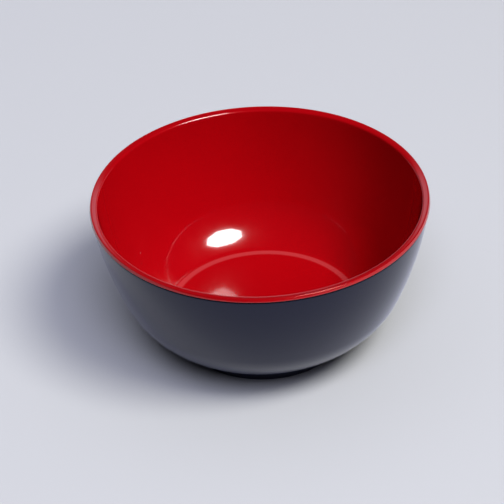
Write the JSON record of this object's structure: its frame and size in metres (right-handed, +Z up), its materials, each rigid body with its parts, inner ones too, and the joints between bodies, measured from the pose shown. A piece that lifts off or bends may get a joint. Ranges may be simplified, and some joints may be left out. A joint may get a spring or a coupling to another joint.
{
  "type": "rice bowl",
  "caption": "Round two-tone plastic bowl for rice or soup: a satin black shell on a foot ring, lined in glossy red with a rounded lip that caps the shell's edge.",
  "frame": {"origin": "centre of the foot ring's underside, where the bowl stands on the table", "axes": "+Z up along the bowl's axis of revolution, with X and Y free because the bowl is round"},
  "size_m": [0.115, 0.115, 0.0555],
  "materials": {
    "outer_shell": "black moulded melamine, satin",
    "inner_liner": "red moulded melamine, polished"
  },
  "bodies": {
    "root": {"outer_shell": "outer_shell", "inner_liner": "inner_liner"}
  },
  "joints": []
}
